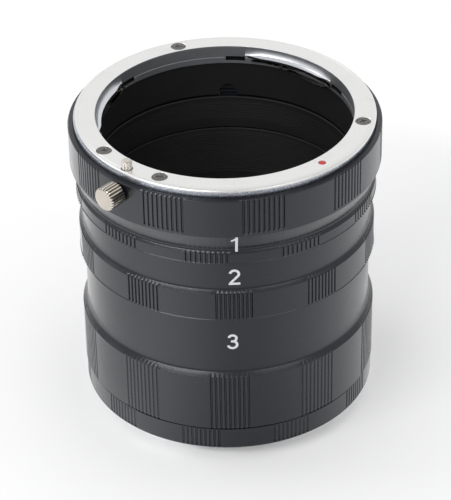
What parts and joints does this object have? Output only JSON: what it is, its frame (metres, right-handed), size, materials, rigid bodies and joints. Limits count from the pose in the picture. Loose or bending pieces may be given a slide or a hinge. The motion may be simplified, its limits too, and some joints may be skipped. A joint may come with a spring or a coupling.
{
  "type": "macro extension tube set",
  "caption": "Stackable macro extension tubes, screwed together, with a female lens bayonet and its locking pin on top and a male camera bayonet below.",
  "frame": {"origin": "centre of the face that seats on the camera", "axes": "+Z along the light path, from the camera to the lens; -Y is the front, between the release knob and the red index mark"},
  "size_m": [0.0656, 0.0656, 0.0703],
  "materials": {
    "black_anodised": "satin black anodised aluminium",
    "satin_silver": "satin chrome plate",
    "dark_screw": "blackened steel",
    "red_paint": "gloss red paint",
    "spring_steel": "bright spring steel",
    "brass": "bright brass",
    "nickel": "bright nickel plate"
  },
  "bodies": {
    "camera_section": {"camera_ring": "black_anodised", "camera_bayonet": "satin_silver", "bayonet_screw_1": "dark_screw", "bayonet_screw_2": "dark_screw", "bayonet_screw_3": "dark_screw", "bayonet_screw_4": "dark_screw"},
    "tube_3_section": {"tube_3": "black_anodised"},
    "tube_2_section": {"tube_2": "black_anodised"},
    "tube_1_section": {"tube_1": "black_anodised"},
    "lens_section": {"lens_ring": "black_anodised", "lens_flange": "satin_silver", "flange_screw_1": "dark_screw", "flange_screw_2": "dark_screw", "flange_screw_3": "dark_screw", "flange_screw_4": "dark_screw", "index_mark": "red_paint", "leaf_spring_1": "spring_steel", "leaf_spring_2": "spring_steel", "leaf_spring_3": "spring_steel", "spring_rivet_1": "brass", "spring_rivet_2": "brass", "spring_rivet_3": "brass", "lock_spring": "spring_steel"},
    "lock": {"lock_pin": "nickel", "release_knob": "nickel"}
  },
  "joints": [
    {"name": "tube_3_unscrew", "type": "slide", "parent": "camera_section", "child": "tube_3_section", "axis": [0, 0, 1], "range_m": [0, 0.012]},
    {"name": "tube_2_unscrew", "type": "slide", "parent": "tube_3_section", "child": "tube_2_section", "axis": [0, 0, 1], "range_m": [0, 0.012]},
    {"name": "tube_1_unscrew", "type": "slide", "parent": "tube_2_section", "child": "tube_1_section", "axis": [0, 0, 1], "range_m": [0, 0.012]},
    {"name": "lens_ring_unscrew", "type": "slide", "parent": "tube_1_section", "child": "lens_section", "axis": [0, 0, 1], "range_m": [0, 0.012]},
    {"name": "lock_release", "type": "slide", "parent": "lens_section", "child": "lock", "axis": [0, 0, -1], "range_m": [0, 0.0019], "stiffness_N_per_m": 200, "springref_m": -0.003, "deforming": ["lock_spring"]}
  ]
}
